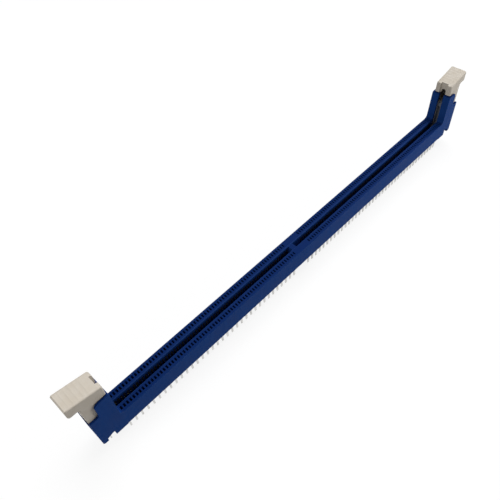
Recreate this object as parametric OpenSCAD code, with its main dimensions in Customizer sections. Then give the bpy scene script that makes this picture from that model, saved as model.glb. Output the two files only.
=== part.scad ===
// Card edge connector: upright memory module socket with two hinged ejector latches.
// Millimetres. X runs along the row of contacts, Y across it, Z up from the board lock tips.

/* [Contact rows] */
// Distance between neighbouring contacts
pitch = 0.85; // [0.80:0.01:0.95]
// Contacts on each side of the shorter row, at the -X end
short_count = 67; // [20:1:80]
// Contacts on each side of the longer row, at the +X end
long_count = 77; // [20:1:90]
// Pitches from the last short contact to the first long contact
key_pitches = 7; // [6:1:10]

/* [Contacts] */
// Width of a contact along the row
contact_wide = 0.40; // [0.30:0.02:0.44]
// Sheet thickness of the spring beam
beam_thick = 0.26; // [0.18:0.02:0.30]
// Width of a solder tail across the row
tail_wide = 0.42; // [0.34:0.02:0.46]
// Reach of the solder tails below the board seat
tail_reach = 3.4; // [2.6:0.1:3.4]
// Gap between a solder tail and the nearer end of its cavity
tail_gap = 0.04; // [0.02:0.01:0.06]
// Distance of the contact crest from the middle plane
crest_half = 0.50; // [0.40:0.02:0.60]

/* [Body] */
// Width of the housing across the rows
body_wide = 5.9; // [5.7:0.1:6.5]
// Height of the contact body above the board
body_high = 5.85; // [5.7:0.05:6.5]
// Height of the card seat above the board
seat_high = 2.4; // [2.3:0.05:2.6]
// Width of the card slot
slot_wide = 1.6; // [1.5:0.02:1.64]
// Width of the rail between the slot and the contact windows
rail_wide = 0.65; // [0.5:0.05:0.8]
// Depth of that rail
rail_deep = 0.95; // [0.7:0.05:1.0]
// Thickness of the outer wall beside the contact windows
outer_wall = 0.6; // [0.5:0.05:0.7]
// Gap between a contact and the wall of its cavity, each side
cavity_gap = 0.05; // [0.03:0.01:0.07]
// Height of the standing pads under the body
pad_high = 0.1; // [0.1:0.05:0.3]
// Width of the key that closes the slot
key_wide = 1.5; // [1.3:0.1:1.8]
// Distance from the last short contact to the middle of the key
key_from_short = 1.54; // [1.4:0.02:1.8]
// Chamfer of the body's long edges
edge = 0.12; // [0.05:0.01:0.2]
// Lead-in chamfer at the mouth of the slot
lead_in = 0.2; // [0.1:0.05:0.3]

/* [Towers] */
// Distance from the end contact to the tower's inner face
tower_margin = 0.875; // [0.8:0.025:1.2]
// Length of a tower along the row
tower_long = 3.7; // [3.4:0.1:4.0]
// Height of a tower above the board
tower_high = 15.4; // [14:0.1:16]
// Length of the lower end block beyond the tower
block_long = 2.4; // [2.3:0.1:3.0]
// Height of the end block above the board
block_high = 10.95; // [9:0.05:11.5]
// Thickness of the walls beside the latch pivot
side_wall = 0.85; // [0.8:0.05:1.0]
// Thickness of the walls beside the latch stem, further from the pivot
upper_wall = 0.45; // [0.4:0.05:0.6]
// Distance from the pivot at which the latch pocket widens
step_r = 5.3; // [4.8:0.1:5.6]
// Thickness of the tower's inner wall
inner_wall = 0.9; // [0.7:0.05:1.0]
// Fillet between the body top and the tower
foot_fillet = 0.9; // [0.5:0.1:1.2]
// Fillet between the end block top and the tower
block_fillet = 0.8; // [0.4:0.1:1.2]
// Rounding of the tower's outer top corner
top_round = 1.3; // [0.6:0.1:1.6]
// Length of the notch in the bottom edge of each side wall
notch_long = 2.0; // [1.6:0.1:2.2]
// Height of that notch at its middle
notch_high = 1.6; // [1.0:0.1:1.8]
// Fall of the notch's top edge from its inner to its outer end
notch_fall = 0.8; // [0:0.1:1.0]
// Height of the block's outer foot above the board
foot_lift = 0.3; // [0.1:0.05:0.4]

/* [Latches] */
// Height of the latch pivot above the board
pivot_high = 2.6; // [2.5:0.05:2.8]
// Distance of the pivot from the tower's inner face
pivot_out = 1.9; // [1.85:0.05:2.1]
// Radius of the latch trunnions
trunnion_r = 0.55; // [0.45:0.05:0.6]
// Radial clearance of the trunnions in their bores
trunnion_fit = 0.05; // [0.02:0.01:0.08]
// Length of a trunnion beyond the latch side
trunnion_long = 0.55; // [0.4:0.05:0.6]
// Clearance between a latch and its pocket
latch_gap = 0.15; // [0.1:0.01:0.2]
// Opening angle of a latch
open_angle = 33; // [25:1:36]
// Width of the latch head
head_wide = 5.0; // [4.4:0.1:5.4]
// Length of the latch head along the row
head_long = 8.1; // [7.5:0.1:8.5]
// Height of the head's top at its inner edge
head_inner_high = 18.85; // [18:0.05:19.5]
// Height of the head's top at its outer edge
head_outer_high = 20.4; // [19.5:0.1:21]
// Reach of the head's two cheeks beyond the stem's inner face
cheek_reach = 0.8; // [0.5:0.05:0.9]
// Width of each cheek
cheek_wide = 1.45; // [1.2:0.05:1.6]
// Depth of the recess between the cheeks
recess_deep = 0.65; // [0.5:0.05:0.9]
// Thickness of the thumb tab at its outer edge
tab_thick = 3.2; // [2.6:0.1:3.4]
// Number of grip ribs on the head
rib_count = 5; // [3:1:7]
// Height of the grip ribs
rib_high = 0.10; // [0.05:0.01:0.2]
// Thickness of the stem at its outer, upper part
stem_thick = 5.0; // [4.6:0.1:5.1]
// Width of the card channel in the latch
channel_wide = 1.5; // [1.4:0.05:1.6]
// Depth of the card channel behind the stem's inner face
channel_deep = 1.6; // [1.4:0.05:1.7]
// Extra depth of the channel above the hook
channel_extra = 2.4; // [1.2:0.1:2.6]
// Width of the hollow in the stem above the hook
core_wide = 3.1; // [2.4:0.1:3.2]
// Height of the hook's middle above the card seat
hook_high = 8.2; // [7.8:0.1:9.6]
// Reach of the hook into the channel
hook_reach = 1.0; // [0.6:0.1:1.2]

/* [Board locks] */
// Sheet thickness of a board lock
lock_thick = 0.3; // [0.2:0.05:0.4]
// Width of a board lock across the row
lock_wide = 3.4; // [3.0:0.1:3.6]
// Reach of the lock legs below the board seat
lock_reach = 3.5; // [3.5:0.1:4.0]
// Width of a lock leg
leg_wide = 0.55; // [0.4:0.05:0.7]
// Distance between the lock legs' middles
leg_spread = 2.0; // [1.8:0.1:2.2]
// Bulge of the legs that grips the board hole
leg_bulge = 0.18; // [0.1:0.02:0.25]

/* [Hidden] */
last = short_count + long_count - 2 + key_pitches;
half_span = last * pitch / 2;
long_first = short_count - 1 + key_pitches;
half_wide = body_wide / 2;
slot_half = slot_wide / 2;
floor_half = slot_half + 0.15;
cavity_out = half_wide - outer_wall;
cavity_mid = (floor_half + cavity_out) / 2;
tail_row_inner = floor_half + tail_gap + tail_wide / 2;
tail_row_outer = cavity_out - tail_gap - tail_wide / 2;
post_top = pad_high + 0.35;
base_low = post_top + 0.05;
base_high = base_low + 1.3;
cavity_half = contact_wide / 2 + cavity_gap;
key_mid = -half_span + (short_count - 1) * pitch + key_from_short;
recess_margin = pitch * 0.55;
tower_in = half_span + tower_margin;
tower_out = tower_in + tower_long;
end_x = tower_out + block_long;
pocket_in = tower_in + inner_wall;
pocket_half = half_wide - side_wall;
pivot_x = tower_in + pivot_out;
latch_half = pocket_half - latch_gap;
upper_half = half_wide - upper_wall;
stem_half = upper_half - latch_gap;
stem_in = pocket_in + latch_gap;
web_out = stem_in + channel_deep + 0.65;
foot_r = web_out - pivot_x;
swing_r = foot_r + latch_gap;
swing = open_angle + 2;
stem_out = stem_in + stem_thick;
head_in = stem_in - cheek_reach;
head_out = head_in + head_long;
head_low = tower_high + 0.3;
tab_low = head_outer_high - tab_thick;
stem_top = tab_low - 0.5;
channel_half = channel_wide / 2;
channel_back = stem_in + channel_deep;
channel_top = head_low + 1.2;
hook_top = seat_high + hook_high + 1.1;
toe_in = tower_in + 0.3;
lock_x = pivot_x + foot_r + 0.5;
board_z = lock_reach;
big = 400;

// Node to draw, or all

function x_of(i) = -half_span + i * pitch;
function arc(cx, cz, r, a0, a1, n) =
  [for (k = [0:n]) [cx + r * cos(a0 + (a1 - a0) * k / n), cz + r * sin(a0 + (a1 - a0) * k / n)]];
function reversed(p) = [for (k = [len(p) - 1:-1:0]) p[k]];
function mirrored(p) = [for (q = p) [q[0], -q[1]]];

// A profile in X and Z, drawn through the middle plane to both sides
module across(pts, half) {
  rotate([90, 0, 0])
    linear_extrude(height = 2 * half, center = true)
      polygon(pts);
}

// A profile in Y and Z, drawn along X from x0
module along(pts, x0, length) {
  translate([x0, 0, 0])
    rotate([90, 0, 90])
      linear_extrude(height = length)
        polygon(pts);
}

// One edge of a row of cavities, from the slot's start to its end
function comb_edge(i0, count, xs, xe) = concat(
  [[xs, slot_half]],
  [for (k = [0:count - 1], s = [0:3])
    [x_of(i0 + k) + (s < 2 ? -cavity_half : cavity_half), s == 1 || s == 2 ? cavity_out : slot_half]],
  [[xe, slot_half]]);

// The card slot of one row with the contact cavities that open into it
module comb(i0, count, xs, xe) {
  edge_pts = comb_edge(i0, count, xs, xe);
  translate([0, 0, -1])
    linear_extrude(height = body_high + foot_fillet + 2)
      polygon(concat(edge_pts, reversed(mirrored(edge_pts))));
}

// Closed halves of every second cavity at the underside, as a comb with its teeth from y0 to y1
module posts(i0, count, first, y0, y1, y_back) {
  half = cavity_half + 0.05;
  last_post = first + 2 * floor((count - 1 - first) / 2);
  teeth = [for (k = [first:2:count - 1], s = [0:3])
    [x_of(i0 + k) + (s < 2 ? -half : half), s == 1 || s == 2 ? y1 : y0]];
  translate([0, 0, pad_high + 0.05])
    linear_extrude(height = post_top - pad_high - 0.05)
      polygon(concat([[x_of(i0 + first) - half, y_back]], teeth, [[x_of(i0 + last_post) + half, y_back]]));
}

// The posts of one row on the +Y side: inner ones beside the outer tails, outer ones beside the inner tails
module row_posts(i0, count) {
  posts(i0, count, 0, floor_half - 0.03, cavity_mid, floor_half - 0.1);
  posts(i0, count, 1, cavity_out + 0.03, cavity_mid, cavity_out + 0.1);
}

// Shallow recesses of the underside on both sides of the key
module key_recesses() {
  far = x_of(short_count - 1) + recess_margin;
  near = x_of(long_first) - recess_margin;
  translate([far, -cavity_out, -1])
    cube([key_mid - key_wide / 2 - far, 2 * cavity_out, pad_high + 2.0]);
  translate([key_mid + key_wide / 2, -cavity_out, -1])
    cube([near - key_mid - key_wide / 2, 2 * cavity_out, pad_high + 2.0]);
}

// The slot's floor and the two rails beside its mouth
module floor_and_rails(xs, xe) {
  translate([xs - 0.3, -floor_half, pad_high])
    cube([xe - xs + 0.6, 2 * floor_half, seat_high - pad_high]);
  low = body_high - rail_deep;
  rail = [[slot_half, low], [slot_half + rail_wide, low], [slot_half + rail_wide, body_high],
    [slot_half + lead_in, body_high], [slot_half, body_high - lead_in]];
  along(rail, xs, xe - xs);
  along([for (q = rail) [-q[0], q[1]]], xs, xe - xs);
}

// The body between the towers, with chamfered long edges
module body_bar() {
  h = half_wide;
  along([[-h + edge, pad_high], [h - edge, pad_high], [h, pad_high + edge], [h, body_high - edge],
    [h - edge, body_high], [-h + edge, body_high], [-h, body_high - edge], [-h, pad_high + edge]],
    -tower_in - 1, 2 * tower_in + 2);
}

// Outline of one tower and its end block, seen from the front
module end_outline() {
  across(concat(
    [[tower_in - 0.4, 0], [lock_x - 0.5, 0], [lock_x, foot_lift], [end_x - 0.4, foot_lift],
      [end_x, foot_lift + 0.4], [end_x, block_high - 0.1], [end_x - 0.1, block_high]],
    reversed(arc(tower_out + block_fillet, block_high + block_fillet, block_fillet, 180, 270, 6)),
    arc(tower_out - top_round, tower_high - top_round, top_round, 0, 90, 6),
    [[tower_in + 0.25, tower_high], [tower_in, tower_high - 0.25]],
    reversed(arc(tower_in - foot_fillet, body_high + foot_fillet, foot_fillet, -90, 0, 6)),
    [[tower_in - foot_fillet, body_high - 0.5], [tower_in - 0.4, body_high - 0.5]]),
    half_wide);
}

// A round on the pivot's axis, through both side walls
module pivot_round(r, half) {
  translate([pivot_x, 0, pivot_high])
    rotate([90, 0, 0])
      cylinder(r = r, h = 2 * half, center = true, $fn = 96);
}

// Space for the latch: open above and outwards, closed below by the sloping stop of the end block
module latch_pocket() {
  stop_x = end_x + 1;
  sx = pivot_x + swing_r * cos(swing);
  sz = pivot_high - swing_r * sin(swing);
  pts = concat(
    [[pocket_in, -1], [pivot_x + swing_r * 0.5, -1]],
    arc(pivot_x, pivot_high, swing_r, -60, -swing, 4),
    [[stop_x, sz + (stop_x - sx) / tan(swing)], [stop_x, tower_high + 1], [pocket_in, tower_high + 1]]);
  across(pts, pocket_half);
  difference() {
    across(pts, upper_half);
    pivot_round(step_r, half_wide);
  }
}

// Notch in the bottom edge of the front side wall, with a falling top edge
module wall_notch() {
  a = lock_x - 1.0;
  b = a + notch_long;
  translate([0, -pocket_half, 0])
    rotate([90, 0, 0])
      linear_extrude(height = side_wall + 1)
        polygon([[a, -1], [b, -1], [b, notch_high - notch_fall / 2], [a, notch_high + notch_fall / 2]]);
}

// Everything cut out of one end of the housing
module end_cuts() {
  latch_pocket();
  translate([tower_in - 1.5, -slot_half, seat_high])
    cube([inner_wall + 2, slot_wide, tower_high]);
  translate([tower_in - 0.25, -pocket_half + 0.3, -1])
    cube([inner_wall + 0.5, 2 * pocket_half - 0.6, pivot_high + 2]);
  pivot_round(trunnion_r + trunnion_fit, latch_half + trunnion_long + 0.1);
  translate([lock_x, -lock_wide / 2 - 0.05, -1])
    cube([lock_thick + 0.25, lock_wide + 0.1, notch_high + 1.4]);
  wall_notch();
  mirror([0, 1, 0])
    wall_notch();
}

// Blue moulded housing
module housing() {
  color("#1d3b78")
    translate([0, 0, board_z])
      difference() {
        union() {
          difference() {
            union() {
              body_bar();
              end_outline();
              mirror([1, 0, 0])
                end_outline();
              translate([key_mid - key_wide / 2, -cavity_out, 0])
                cube([key_wide, 2 * cavity_out, seat_high]);
            }
            along([[-slot_half - lead_in, body_high], [-slot_half, body_high - lead_in],
              [slot_half, body_high - lead_in], [slot_half + lead_in, body_high],
              [slot_half + lead_in, body_high + 0.5], [-slot_half - lead_in, body_high + 0.5]],
              -tower_in, 2 * tower_in);
            comb(0, short_count, -tower_in - 0.2, key_mid - key_wide / 2);
            comb(long_first, long_count, key_mid + key_wide / 2, tower_in + 0.2);
          }
          floor_and_rails(-tower_in + 0.05, key_mid - key_wide / 2);
          floor_and_rails(key_mid + key_wide / 2, tower_in - 0.05);
          for (side = [0, 1])
            mirror([0, side, 0]) {
              row_posts(0, short_count);
              row_posts(long_first, long_count);
            }
        }
        key_recesses();
        end_cuts();
        mirror([1, 0, 0])
          end_cuts();
      }
}

// Thumb head of a latch: sloping ribbed top, two cheeks at the inner end, tab with a flat underside
module latch_head() {
  top_in = head_in + 0.4;
  rise = (head_outer_high - head_inner_high) / (head_out - top_in);
  run = head_out - top_in - 0.6;
  step = run * 0.74 / rib_count;
  start = top_in + run * 0.26;
  difference() {
    across(concat(
      [[head_in, head_low], [head_in, head_inner_high - 0.5], [head_in + 0.12, head_inner_high - 0.15],
        [top_in, head_inner_high]],
      [for (k = [0:rib_count - 1], s = [0:3])
        let (x = start + k * step + [0, 0.15, 0.35, 0.5][s] * step)
          [x, head_inner_high + (x - top_in) * rise + (s == 1 || s == 2 ? rib_high : 0)]],
      [[head_out - 0.3, head_outer_high], [head_out, head_outer_high - 0.3], [head_out, tab_low + 0.5],
        [head_out - 0.15, tab_low + 0.15], [head_out - 0.5, tab_low]],
      arc(stem_out + 0.6, tab_low - 0.6, 0.6, 90, 180, 6),
      [[stem_out - 1.4, head_low]]),
      head_wide / 2);
    translate([head_in - 1, -head_wide / 2 + cheek_wide, head_low - 1])
      cube([recess_deep + 1, head_wide - 2 * cheek_wide, head_outer_high]);
  }
}

// Channel that takes the card's edge, round at the top, and the wider hollow of the stem above the hook
module card_channel() {
  deep = channel_deep + channel_extra;
  translate([stem_in - 2, -channel_half, seat_high])
    cube([channel_deep + 2, channel_wide, channel_top - channel_half - seat_high]);
  translate([stem_in - 2, -channel_half, hook_top])
    cube([deep + 2, channel_wide, channel_top - channel_half - hook_top]);
  translate([stem_in - 2, 0, channel_top - channel_half])
    rotate([0, 90, 0])
      cylinder(r = channel_half, h = deep + 2, $fn = 32);
  translate([stem_in - 2, -core_wide / 2, hook_top])
    cube([deep + 2, core_wide, head_low - 0.2 - hook_top]);
}

// Stem of a latch with its round foot, wider where the pocket is wider
module latch_stem() {
  pts = concat(
    [[stem_in, pivot_high - 0.35]],
    arc(pivot_x, pivot_high, foot_r, -95, 0, 8),
    [[web_out, block_high - 2.65], [stem_out, block_high - 0.5], [stem_out, stem_top], [stem_in, stem_top]]);
  across(pts, latch_half);
  difference() {
    across(pts, stem_half);
    pivot_round(step_r + latch_gap, half_wide);
  }
}

// Ivory ejector latch of the +X end
module latch() {
  difference() {
    union() {
      latch_stem();
      latch_head();
      across([[toe_in, pivot_high - 0.9], [pivot_x, pivot_high - 1.2], [pivot_x, pivot_high - 0.4],
        [toe_in, pivot_high - 0.6]],
        pocket_half - 0.3 - latch_gap);
      across([[toe_in, pivot_high - 0.9], [pivot_x, pivot_high - 0.9], [pivot_x, seat_high - 0.05],
        [toe_in, seat_high - 0.05]],
        slot_half - latch_gap);
      pivot_round(trunnion_r, latch_half + trunnion_long);
    }
    card_channel();
  }
  across([[channel_back + 0.1, hook_top - 2.2], [channel_back + 0.1, hook_top],
    [channel_back - hook_reach, hook_top - 0.4], [channel_back - hook_reach, hook_top - 1.5]],
    channel_half + 0.1);
}

module latch_right() {
  color("#d9d0c2")
    translate([0, 0, board_z])
      latch();
}

module latch_left() {
  color("#d9d0c2")
    translate([0, 0, board_z])
      mirror([1, 0, 0])
        latch();
}

// Sheet metal board lock of the +X end: plate in the cross slot, two legs with a gripping bulge
module board_lock() {
  w = lock_wide / 2;
  a = leg_spread / 2 - leg_wide / 2;
  b = leg_spread / 2 + leg_wide / 2;
  side = [[0, notch_high + 0.4], [w, notch_high + 0.4], [w, 0.1], [b, 0], [b, -1.3], [b + leg_bulge, -1.9],
    [b, -2.6], [b - 0.12, -lock_reach], [a + 0.12, -lock_reach], [a, -2.7], [a, 0.4], [0, 0.4]];
  other = [for (k = [len(side) - 2:-1:1]) [-side[k][0], side[k][1]]];
  along(concat(side, other), lock_x, lock_thick);
}

module board_lock_right() {
  color("#b9bcc0")
    translate([0, 0, board_z])
      board_lock();
}

module board_lock_left() {
  color("#b9bcc0")
    translate([0, 0, board_z])
      mirror([1, 0, 0])
        board_lock();
}

// Profile of a contact in Y and Z: solder tail, base that fills the cavity, spring beam and crest
function contact_profile(y) =
  let (t = tail_wide / 2, root = cavity_out - 0.2, lo = base_low, hi = base_high,
    rise = body_high - rail_deep)
  [[y - t, -tail_reach + 0.5], [y - t / 3, -tail_reach], [y + t / 3, -tail_reach],
    [y + t, -tail_reach + 0.5], [y + t, lo], [cavity_out, lo], [cavity_out, hi],
    [root, hi], [root, hi + 0.8], [crest_half + beam_thick * 1.3, rise - 0.78],
    [crest_half + beam_thick + 0.46, rise - 0.24], [crest_half + 0.5, rise - 0.12],
    [crest_half, rise - 0.72], [root - beam_thick, hi + 0.7], [root - beam_thick, hi],
    [floor_half, hi], [floor_half, lo], [y - t, lo]];

// Every second contact of one row on one side
module contacts(i0, count, first, side, row) {
  pts = [for (q = contact_profile(row)) [side * q[0], q[1]]];
  color("#c9c4b4")
    translate([0, 0, board_z])
      for (k = [first:2:count - 1])
        along(pts, x_of(i0 + k) - contact_wide / 2, contact_wide);
}

module contacts_front_short_outer() {
  contacts(0, short_count, 0, -1, tail_row_outer);
}

module contacts_front_short_inner() {
  contacts(0, short_count, 1, -1, tail_row_inner);
}

module contacts_rear_short_outer() {
  contacts(0, short_count, 0, 1, tail_row_outer);
}

module contacts_rear_short_inner() {
  contacts(0, short_count, 1, 1, tail_row_inner);
}

module contacts_front_long_outer() {
  contacts(long_first, long_count, 0, -1, tail_row_outer);
}

module contacts_front_long_inner() {
  contacts(long_first, long_count, 1, -1, tail_row_inner);
}

module contacts_rear_long_outer() {
  contacts(long_first, long_count, 0, 1, tail_row_outer);
}

module contacts_rear_long_inner() {
  contacts(long_first, long_count, 1, 1, tail_row_inner);
}

housing();
latch_left();
latch_right();
board_lock_left();
board_lock_right();
contacts_front_short_outer();
contacts_front_short_inner();
contacts_rear_short_outer();
contacts_rear_short_inner();
contacts_front_long_outer();
contacts_front_long_inner();
contacts_rear_long_outer();
contacts_rear_long_inner();
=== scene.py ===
import bmesh
import bpy
from mathutils import Matrix, Vector


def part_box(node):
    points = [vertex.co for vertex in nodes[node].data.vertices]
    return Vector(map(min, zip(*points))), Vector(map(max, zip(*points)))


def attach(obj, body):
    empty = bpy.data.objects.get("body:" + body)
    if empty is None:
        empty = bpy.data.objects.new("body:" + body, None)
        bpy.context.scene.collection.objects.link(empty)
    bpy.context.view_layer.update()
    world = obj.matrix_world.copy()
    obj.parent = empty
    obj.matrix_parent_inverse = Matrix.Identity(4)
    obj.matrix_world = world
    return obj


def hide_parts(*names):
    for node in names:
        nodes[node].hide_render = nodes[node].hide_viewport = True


# Upright memory module socket: blue housing, two ivory ejector latches, plated contacts, tin board locks.
# Metres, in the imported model's frame: X along the contact rows, Y across them, Z up from the lock tips.

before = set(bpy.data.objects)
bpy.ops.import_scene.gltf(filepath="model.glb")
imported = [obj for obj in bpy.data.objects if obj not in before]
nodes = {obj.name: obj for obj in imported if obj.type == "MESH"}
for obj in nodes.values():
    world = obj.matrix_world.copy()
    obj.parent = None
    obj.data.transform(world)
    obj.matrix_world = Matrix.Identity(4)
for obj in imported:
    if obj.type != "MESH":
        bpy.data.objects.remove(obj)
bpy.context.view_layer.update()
scene = bpy.context.scene

MM = 0.001
LATCH_BODIES = {"latch_left": "left_latch", "latch_right": "right_latch"}
BOARD_LOCKS = ("board_lock_left", "board_lock_right")
CONTACTS = [name for name in nodes if name.startswith("contacts_")]

# Housing and contacts: the board's top, half the slot's lead-in, and where the tin gives way to the
# painted shade on the contact springs
BOARD_Z = 3.5 * MM
SLOT_LIP = 1.1 * MM
TIN_END = BOARD_Z + 2.0 * MM
CREST_START = BOARD_Z + 2.6 * MM

# Head of a latch: its outer end, side and top as packed, then its sloping top and the grip ribs there
HEAD_OUT, HEAD_SIDE, HEAD_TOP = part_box("latch_right")[1]
TOP_RUN = 7.70 * MM
TOP_RISE = 1.55 * MM
TOP_SLOPE = TOP_RISE / TOP_RUN
TOP_INNER_X = HEAD_OUT - TOP_RUN
TOP_INNER_Z = HEAD_TOP - TOP_RISE
RIM_LOW = BOARD_Z + 16.4 * MM
RIB_HIGH = 0.10 * MM
RIB_WEAR = 0.03 * MM
RIB_END = HEAD_SIDE - 0.55 * MM

# Card channel of a latch: limits just past its walls, back and hook, their fade, and the stem's depth
CHANNEL_SIDE = 0.78 * MM
CHANNEL_BACK = 67.0 * MM
HOOK_TOP = BOARD_Z + 11.8 * MM
FADE = 0.02 * MM
STEM_DEPTH = 4.0 * MM

# Rounding: radii, steps, merging distances, and the angles in radians that tell edges apart
HEAD_ROUND = 0.36 * MM
HEAD_STEPS = 4
LOCK_ROUND = 0.04 * MM
LOCK_STEPS = 2
MERGE_GAP = 0.0005 * MM
CUT_GAP = 0.001 * MM
FLAT_ANGLE = 0.01
LOCK_ANGLE = 0.5
SHARP_ANGLE = 0.6
RIM_ANGLE = 0.9


# Camera, where the photograph was taken from

LENS = 37.14
CAMERA_AT = (-0.072824, -0.055853, 0.112979)
CAMERA_RIGHT = Vector((0.6884, -0.7236, -0.0509))
CAMERA_DOWN = Vector((-0.5796, -0.5065, -0.6384))
CAMERA_AHEAD = Vector((0.4361, 0.4689, -0.7680))


def make_camera():
    """The camera at its place, turned to its three directions."""
    data = bpy.data.cameras.new("photo_camera")
    data.sensor_width = 36.0
    data.lens = LENS
    data.clip_start = 0.01
    data.clip_end = 10.0
    camera = bpy.data.objects.new("photo_camera", data)
    scene.collection.objects.link(camera)
    turn = Matrix((CAMERA_RIGHT, -CAMERA_DOWN, -CAMERA_AHEAD)).transposed().to_4x4()
    camera.matrix_world = Matrix.Translation(CAMERA_AT) @ turn
    scene.camera = camera


# Node helpers

def put(tree, kind, settings=None, feeds=None):
    """A node with its settings; feeds gives an input a value, or the output that drives it."""
    node = tree.nodes.new(kind)
    for name, value in (settings or {}).items():
        setattr(node, name, value)
    for key, value in (feeds or {}).items():
        if isinstance(value, bpy.types.NodeSocket):
            tree.links.new(value, node.inputs[key])
        else:
            node.inputs[key].default_value = value
    return node


def calc(tree, operation, first, second=0.0, clamp=False):
    """The output of a Math node."""
    settings = {"operation": operation, "use_clamp": clamp}
    return put(tree, "ShaderNodeMath", settings, {0: first, 1: second}).outputs[0]


def scaled(tree, value, amount, base=0.0):
    """A value times an amount, plus a base."""
    feeds = {0: value, 1: amount, 2: base}
    return put(tree, "ShaderNodeMath", {"operation": "MULTIPLY_ADD"}, feeds).outputs[0]


def spread(tree, value, low, high, to_low=0.0, to_high=1.0):
    """A value's range low to high drawn out to another range, and held at its ends."""
    feeds = {"Value": value, "From Min": low, "From Max": high, "To Min": to_low, "To Max": to_high}
    return put(tree, "ShaderNodeMapRange", {"clamp": True}, feeds).outputs["Result"]


def below(tree, value, limit):
    """1 where a value lies below a limit and 0 above it, with a narrow fade between."""
    return spread(tree, value, limit, limit - FADE)


def blend_colour(tree, share, first, second):
    """Two colours mixed by a share."""
    node = put(tree, "ShaderNodeMix", {"data_type": "RGBA"}, {0: share})
    for key, value in ((6, first), (7, second)):
        if isinstance(value, bpy.types.NodeSocket):
            tree.links.new(value, node.inputs[key])
        else:
            node.inputs[key].default_value = (*value, 1.0)
    return node.outputs[2]


def coordinates(tree, kind="Object"):
    """A point's place in its object's own frame, or its normal there."""
    return put(tree, "ShaderNodeTexCoord").outputs[kind]


def axes(tree, vector):
    """The X, Y and Z outputs of a vector."""
    return put(tree, "ShaderNodeSeparateXYZ", None, {"Vector": vector}).outputs


def noise(tree, place, scale, detail=2.0, rough=0.5):
    """A noise value at a place."""
    feeds = {"Vector": place, "Scale": scale, "Detail": detail, "Roughness": rough}
    return put(tree, "ShaderNodeTexNoise", None, feeds).outputs["Fac"]


def drawn_along_z(tree, place, share):
    """A place whose height counts for a small share, so that a pattern there is drawn out along Z."""
    feeds = {"Vector": place, "Scale": (1.0, 1.0, share)}
    return put(tree, "ShaderNodeMapping", {"vector_type": "POINT"}, feeds).outputs[0]


def new_group(name, numbers, outputs):
    """A shader node group that takes a place and some numbers, with its own input and output nodes."""
    group = bpy.data.node_groups.new(name, "ShaderNodeTree")
    group.interface.new_socket("Place", in_out="INPUT", socket_type="NodeSocketVector")
    for label in numbers:
        group.interface.new_socket(label, in_out="INPUT", socket_type="NodeSocketFloat")
    for label in outputs:
        group.interface.new_socket(label, in_out="OUTPUT", socket_type="NodeSocketFloat")
    return group, group.nodes.new("NodeGroupInput").outputs, group.nodes.new("NodeGroupOutput").inputs


def placed(tree, group, feeds):
    """A node group placed in a material; returns its outputs."""
    return put(tree, "ShaderNodeGroup", {"node_tree": group}, feeds).outputs


def new_material(name):
    """A material, its node tree and its Principled shader."""
    material = bpy.data.materials.new(name)
    material.use_nodes = True
    tree = material.node_tree
    return material, tree, tree.nodes["Principled BSDF"]


def raise_surface(tree, shader, height, strength, distance):
    """Fine relief on a surface."""
    feeds = {"Height": height, "Strength": strength, "Distance": distance}
    bump = put(tree, "ShaderNodeBump", None, feeds)
    tree.links.new(bump.outputs["Normal"], shader.inputs["Normal"])


# Effects that more than one material uses

def make_moulded_skin():
    """Skin of a moulding: fine grain from the mould, and clouds where the melt cooled unevenly."""
    group, ins, outs = new_group("moulded_skin", ["Grain Scale", "Cloud Scale"], ["Grain", "Cloud"])
    grain = noise(group, ins["Place"], ins["Grain Scale"], detail=2.0, rough=0.6)
    cloud = noise(group, ins["Place"], ins["Cloud Scale"], detail=3.0, rough=0.55)
    group.links.new(grain, outs["Grain"])
    group.links.new(spread(group, cloud, 0.32, 0.68), outs["Cloud"])
    return group


def make_edge_patches():
    """Patches along edges: where a softened normal leaves the true one, broken up by noise."""
    group, ins, outs = new_group("edge_patches", ["Reach", "Patch Scale"], ["Mask"])
    soft = put(group, "ShaderNodeBevel", {"samples": 6}, {"Radius": ins["Reach"]}).outputs[0]
    true = put(group, "ShaderNodeNewGeometry").outputs["True Normal"]
    match = put(group, "ShaderNodeVectorMath", {"operation": "DOT_PRODUCT"}, {0: soft, 1: true})
    edge = spread(group, match.outputs["Value"], 0.97, 0.75)
    patch = noise(group, ins["Place"], ins["Patch Scale"])
    broken = spread(group, patch, 0.35, 0.6, to_low=0.35)
    group.links.new(calc(group, "MULTIPLY", edge, broken), outs["Mask"])
    return group


def make_rolled_strip():
    """Rolled and stamped strip: lines along Z from the die, and cloudy plating."""
    group, ins, outs = new_group("rolled_strip", ["Line Scale", "Stain Scale"], ["Line", "Stain"])
    lines = drawn_along_z(group, ins["Place"], share=0.04)
    group.links.new(noise(group, lines, ins["Line Scale"], detail=2.0, rough=0.6), outs["Line"])
    stain = noise(group, ins["Place"], ins["Stain Scale"], detail=3.0, rough=0.6)
    group.links.new(spread(group, stain, 0.35, 0.65), outs["Stain"])
    return group


moulded_skin = make_moulded_skin()
edge_patches = make_edge_patches()
rolled_strip = make_rolled_strip()


# Finishes

# Blue of the flat tops: a painted shade of the side blue.
BLUE_TOP_PAINTED_SHADE = (0.0032, 0.0210, 0.116)
BLUE_SIDE = (0.0085, 0.045, 0.202)
BLUE_STREAK = (0.0145, 0.064, 0.260)
# Paler edge blue: part wear, part painted sheen.
BLUE_RUBBED_AND_SHEEN = (0.030, 0.075, 0.250)
IVORY = (0.650, 0.594, 0.515)
IVORY_WARM = (0.620, 0.556, 0.465)
# Paler edge ivory: part wear, part painted sheen.
IVORY_RUBBED_AND_SHEEN = (0.710, 0.660, 0.590)
IVORY_SHADE = (0.020, 0.018, 0.024)
# Grey-blue of the card channel: a painted shade.
CHANNEL_PAINTED_SHADE = (0.225, 0.240, 0.275)
# Near black for the contact springs: a painted shade.
CREST_PAINTED_SHADE = (0.016, 0.016, 0.020)
TIN = (0.730, 0.722, 0.705)
TIN_DULL = (0.560, 0.553, 0.540)


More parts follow.
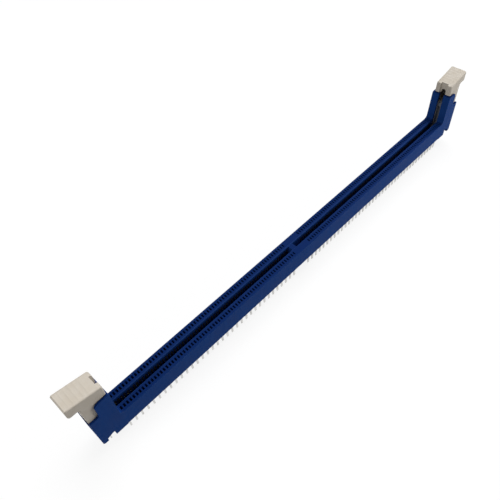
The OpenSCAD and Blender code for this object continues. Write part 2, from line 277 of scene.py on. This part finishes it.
def make_housing_blue():
    """Glass-filled moulding: dark blue, faintly streaked where it was drawn along the mould, flat tops
    painted darker than the sides as shade, edges paler with wear and a painted sheen, and a painted
    highlight on the slot's lead-in.
    """
    material, tree, shader = new_material("housing_blue")
    place = coordinates(tree)
    skin = placed(tree, moulded_skin, {"Place": place, "Grain Scale": 9000.0, "Cloud Scale": 260.0})
    edge_patch = placed(tree, edge_patches, {"Place": place, "Reach": 0.07 * MM, "Patch Scale": 900.0})["Mask"]
    drawn = noise(tree, drawn_along_z(tree, place, share=0.10), scale=1500.0, detail=3.0, rough=0.55)
    streak = spread(tree, drawn, 0.40, 0.68)
    cloud_tone = scaled(tree, skin["Cloud"], 0.45)
    streak_tone = scaled(tree, streak, 0.25)
    tone = calc(tree, "ADD", cloud_tone, streak_tone, clamp=True)
    sides = blend_colour(tree, tone, BLUE_SIDE, BLUE_STREAK)
    # Painted shade: flat tops take a darker blue than the upright sides.
    facing = axes(tree, coordinates(tree, "Normal"))["Z"]
    level = spread(tree, calc(tree, "ABSOLUTE", facing), 0.35, 0.85)
    colour = blend_colour(tree, level, sides, BLUE_TOP_PAINTED_SHADE)
    # Painted highlight along the slot's lead-in chamfers, in the edge colour.
    sloping = calc(tree, "MULTIPLY", spread(tree, facing, 0.50, 0.60), spread(tree, facing, 0.90, 0.80))
    inside = spread(tree, calc(tree, "ABSOLUTE", axes(tree, place)["Y"]), SLOT_LIP, 0.95 * SLOT_LIP)
    lead_in_highlight = scaled(tree, calc(tree, "MULTIPLY", sloping, inside), 0.3)
    # Edges paler: part wear, part a painted sheen on the rounded edges.
    edge_wear_and_sheen = scaled(tree, edge_patch, 0.25)
    worn_and_highlit = calc(tree, "MAXIMUM", edge_wear_and_sheen, lead_in_highlight)
    tree.links.new(blend_colour(tree, worn_and_highlit, colour, BLUE_RUBBED_AND_SHEEN), shader.inputs["Base Color"])
    rough = scaled(tree, skin["Cloud"], 0.10, base=0.52)
    polish = scaled(tree, edge_patch, 0.08)
    tree.links.new(calc(tree, "SUBTRACT", rough, polish), shader.inputs["Roughness"])
    streak_relief = scaled(tree, streak, 0.3)
    relief = calc(tree, "ADD", skin["Grain"], streak_relief)
    raise_surface(tree, shader, relief, strength=0.25, distance=0.012 * MM)
    shader.inputs["Specular IOR Level"].default_value = 0.03
    return material


def make_latch_ivory():
    """Unfilled moulding: cloudy ivory, edges paler with wear and a painted sheen, painted shade deep in
    the stem, and a painted grey-blue shade in the card channel below the hook.
    """
    material, tree, shader = new_material("latch_ivory")
    place = coordinates(tree)
    skin = placed(tree, moulded_skin, {"Place": place, "Grain Scale": 7000.0, "Cloud Scale": 420.0})
    edge_patch = placed(tree, edge_patches, {"Place": place, "Reach": 0.14 * MM, "Patch Scale": 700.0})["Mask"]
    colour = blend_colour(tree, skin["Cloud"], IVORY, IVORY_WARM)
    # Edges paler: part wear, part a painted sheen on the rounded edges.
    edge_wear_and_sheen = scaled(tree, edge_patch, 0.5)
    colour = blend_colour(tree, edge_wear_and_sheen, colour, IVORY_RUBBED_AND_SHEEN)
    # Painted shade: darker where the latch's own shape closes in, deep in the stem.
    settings = {"samples": 8, "only_local": True}
    openness = put(tree, "ShaderNodeAmbientOcclusion", settings, {"Distance": STEM_DEPTH}).outputs["AO"]
    painted_hollow_shade = spread(tree, openness, 0.42, 0.10)
    colour = blend_colour(tree, painted_hollow_shade, colour, IVORY_SHADE)
    # Painted shade: the card channel below the hook takes a grey-blue.
    axis = axes(tree, place)
    across = below(tree, calc(tree, "ABSOLUTE", axis["Y"]), CHANNEL_SIDE)
    along = below(tree, calc(tree, "ABSOLUTE", axis["X"]), CHANNEL_BACK)
    under = below(tree, axis["Z"], HOOK_TOP)
    painted_channel_shade = calc(tree, "MULTIPLY", calc(tree, "MULTIPLY", across, along), under)
    tree.links.new(blend_colour(tree, painted_channel_shade, colour, CHANNEL_PAINTED_SHADE), shader.inputs["Base Color"])
    rough = scaled(tree, skin["Cloud"], 0.10, base=0.46)
    tree.links.new(rough, shader.inputs["Roughness"])
    raise_surface(tree, shader, skin["Grain"], strength=0.22, distance=0.015 * MM)
    shader.inputs["Specular IOR Level"].default_value = 0.30
    return material


def make_contact_plating():
    """Stamped contact: bright tin on tail and base, a painted near-black shade on the spring up to its
    crest.
    """
    material, tree, shader = new_material("contact_plating")
    place = coordinates(tree)
    strip = placed(tree, rolled_strip, {"Place": place, "Line Scale": 14000.0, "Stain Scale": 1500.0})
    # Painted shade: the springs above the tin are near black, as in the slot's shade.
    crest = spread(tree, axes(tree, place)["Z"], TIN_END, CREST_START)
    tin = blend_colour(tree, strip["Stain"], TIN, TIN_DULL)
    tree.links.new(blend_colour(tree, crest, tin, CREST_PAINTED_SHADE), shader.inputs["Base Color"])
    rough = scaled(tree, strip["Stain"], 0.14, base=0.30)
    dulled = scaled(tree, crest, 0.16)
    tree.links.new(calc(tree, "ADD", rough, dulled), shader.inputs["Roughness"])
    raise_surface(tree, shader, strip["Line"], strength=0.20, distance=0.006 * MM)
    shader.inputs["Metallic"].default_value = 1.0
    return material


def make_lock_tin():
    """Stamped board lock: matt tin, duller at its cut edges."""
    material, tree, shader = new_material("lock_tin")
    place = coordinates(tree)
    strip = placed(tree, rolled_strip, {"Place": place, "Line Scale": 9000.0, "Stain Scale": 700.0})
    edge_patch = placed(tree, edge_patches, {"Place": place, "Reach": 0.05 * MM, "Patch Scale": 1200.0})["Mask"]
    tin = blend_colour(tree, strip["Stain"], TIN, TIN_DULL)
    cut_edge = scaled(tree, edge_patch, 0.6)
    tree.links.new(blend_colour(tree, cut_edge, tin, TIN_DULL), shader.inputs["Base Color"])
    rough = scaled(tree, strip["Line"], 0.22, base=0.26)
    tree.links.new(rough, shader.inputs["Roughness"])
    raise_surface(tree, shader, strip["Line"], strength=0.25, distance=0.008 * MM)
    shader.inputs["Metallic"].default_value = 1.0
    return material


def finish_node(name, material):
    """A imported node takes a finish."""
    slots = nodes[name].data.materials
    slots.clear()
    slots.append(material)


# Board locks with rounded edges

def round_lock(name):
    """Rounds a board lock's edges; its loose triangles are welded and its flat faces joined first."""
    piece = nodes[name]
    weld = piece.modifiers.new("weld", "WELD")
    weld.merge_threshold = MERGE_GAP
    flat = piece.modifiers.new("flat", "DECIMATE")
    flat.decimate_type = "DISSOLVE"
    flat.angle_limit = FLAT_ANGLE
    edge = piece.modifiers.new("edge", "BEVEL")
    edge.width = LOCK_ROUND
    edge.segments = LOCK_STEPS
    edge.limit_method = "ANGLE"
    edge.angle_limit = LOCK_ANGLE
    edge.use_clamp_overlap = True
    edge.harden_normals = False


# Latches with rounded head sides and worn ribs

def over_slope(vert):
    """Height of a point of a latch over the sloping plane of its head's top."""
    return vert.co.z - TOP_INNER_Z - (abs(vert.co.x) - TOP_INNER_X) * TOP_SLOPE


def is_on_top(vert):
    """True for a point on the head's top, ribs included."""
    return abs(over_slope(vert)) < 1.2 * RIB_HIGH and abs(vert.co.x) > TOP_INNER_X - 0.1 * RIB_HIGH


def is_at_side(vert):
    """True for a point on one of the head's two side faces."""
    return abs(vert.co.y) > 0.98 * HEAD_SIDE


def is_rim(edge):
    """True for an edge round a side face of the head, apart from those over the stem."""
    first, second = edge.verts
    at_side = is_at_side(first) and is_at_side(second)
    return at_side and first.co.z + second.co.z > 2.0 * RIM_LOW and edge.calc_face_angle(0.0) > RIM_ANGLE


def is_rib_line(edge):
    """True for an edge that runs across the head at the foot or the crest of a grip rib."""
    first, second = edge.verts
    return is_on_top(first) and is_on_top(second) and abs(first.co.y - second.co.y) > HEAD_SIDE


def wear_ribs(bm):
    """Lowers the grip ribs a little, and lets them run out before the sides of the head."""
    for vert in bm.verts:
        if is_on_top(vert) and over_slope(vert) > 0.8 * RIB_HIGH:
            vert.co.z -= RIB_WEAR
    for side in (-RIB_END, RIB_END):
        faces = [face for face in bm.faces if all(is_on_top(vert) for vert in face.verts)]
        edges = {edge for face in faces for edge in face.edges}
        verts = {vert for face in faces for vert in face.verts}
        bmesh.ops.bisect_plane(bm, geom=[*verts, *edges, *faces], dist=CUT_GAP,
                               plane_co=(0.0, side, 0.0), plane_no=(0.0, 1.0, 0.0))
    for vert in bm.verts:
        if is_on_top(vert) and is_at_side(vert):
            vert.co.z -= over_slope(vert)


def rounded_latch(name):
    """A copy of a packed latch with rounded head sides and worn ribs, in the node's place."""
    bm = bmesh.new()
    bm.from_mesh(nodes[name].data)
    bmesh.ops.remove_doubles(bm, verts=bm.verts, dist=MERGE_GAP)
    bmesh.ops.dissolve_limit(bm, angle_limit=FLAT_ANGLE, verts=bm.verts, edges=bm.edges)
    wear_ribs(bm)
    rim = [edge for edge in bm.edges if is_rim(edge)]
    bmesh.ops.bevel(bm, geom=rim, offset=HEAD_ROUND, offset_type="OFFSET", affect="EDGES",
                    segments=HEAD_STEPS, profile=0.5, clamp_overlap=False, material=-1)
    for face in bm.faces:
        face.smooth = True
    for edge in bm.edges:
        edge.smooth = edge.calc_face_angle(0.0) < SHARP_ANGLE and not is_rib_line(edge)
    mesh = bpy.data.meshes.new(name + "_rounded")
    bm.to_mesh(mesh)
    bm.free()
    latch = bpy.data.objects.new(name + "_rounded", mesh)
    scene.collection.objects.link(latch)
    latch.modifiers.new("even_shading", "WEIGHTED_NORMAL").keep_sharp = True
    mesh.materials.append(latch_ivory)
    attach(latch, LATCH_BODIES[name])
    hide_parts(name)


make_camera()
housing_blue = make_housing_blue()
latch_ivory = make_latch_ivory()
contact_plating = make_contact_plating()
lock_tin = make_lock_tin()

finish_node("housing", housing_blue)
for name in LATCH_BODIES:
    rounded_latch(name)
for name in BOARD_LOCKS:
    finish_node(name, lock_tin)
    round_lock(name)
for name in CONTACTS:
    finish_node(name, contact_plating)


# Floor, light and background

FLOOR_HALF = 2.0
FLOOR_GAP = 0.02 * MM
FLOOR_BOUNCE = 0.33
FLOOR_SHADOW = 0.17
FLOOR_GLOW = 0.86
SKY_LIGHT = 0.22
WHITE = (1.0, 1.0, 1.0, 1.0)


def seen(tree):
    """1 for rays by which the camera, a gloss or a clear piece sees the surroundings, else 0."""
    ray = put(tree, "ShaderNodeLightPath").outputs
    direct = calc(tree, "MAXIMUM", ray["Is Camera Ray"], ray["Is Glossy Ray"])
    return calc(tree, "MAXIMUM", direct, ray["Is Transmission Ray"])


def matt(tree, level):
    """A plain grey diffuse shader."""
    return put(tree, "ShaderNodeBsdfDiffuse", None, {"Color": (level, level, level, 1.0)}).outputs[0]


def make_floor():
    """A pale floor that shows white and keeps a faint shadow."""
    bm = bmesh.new()
    bmesh.ops.create_grid(bm, x_segments=1, y_segments=1, size=FLOOR_HALF)
    bmesh.ops.translate(bm, verts=bm.verts, vec=(0.0, 0.0, -FLOOR_GAP))
    mesh = bpy.data.meshes.new("floor")
    bm.to_mesh(mesh)
    bm.free()
    floor = bpy.data.objects.new("floor", mesh)
    scene.collection.objects.link(floor)
    material, tree, shader = new_material("floor_white")
    tree.nodes.remove(shader)
    glow = put(tree, "ShaderNodeEmission", None, {"Color": WHITE, "Strength": FLOOR_GLOW}).outputs[0]
    shown = put(tree, "ShaderNodeAddShader", None, {0: matt(tree, FLOOR_SHADOW), 1: glow}).outputs[0]
    feeds = {0: seen(tree), 1: matt(tree, FLOOR_BOUNCE), 2: shown}
    surface = put(tree, "ShaderNodeMixShader", None, feeds).outputs[0]
    tree.links.new(surface, tree.nodes["Material Output"].inputs["Surface"])
    mesh.materials.append(material)


def make_world():
    """An even, weak sky that is seen as white."""
    world = bpy.data.worlds.new("studio")
    scene.world = world
    world.use_nodes = True
    tree = world.node_tree
    sky = tree.nodes["Background"]
    sky.inputs["Color"].default_value = WHITE
    tree.links.new(spread(tree, seen(tree), 0.0, 1.0, SKY_LIGHT, 1.0), sky.inputs["Strength"])


def make_lamp(name, at, towards, size, power):
    """A square soft light."""
    data = bpy.data.lights.new(name, "AREA")
    data.energy = power
    data.size = size
    lamp = bpy.data.objects.new(name, data)
    scene.collection.objects.link(lamp)
    lamp.location = at
    lamp.rotation_euler = (Vector(at) - Vector(towards)).to_track_quat("Z", "Y").to_euler()


make_floor()
make_world()
make_lamp("overhead", at=(0.40, 0.15, 0.82), towards=(0.0, 0.0, 0.0), size=0.70, power=6.05)
make_lamp("right_front", at=(0.25, -0.25, 0.09), towards=(0.06, 0.0, 0.01), size=0.16, power=0.42)
make_lamp("left_fill", at=(-0.42, 0.05, 0.24), towards=(0.06, 0.0, 0.015), size=0.20, power=0.44)

scene.view_settings.view_transform = "Standard"
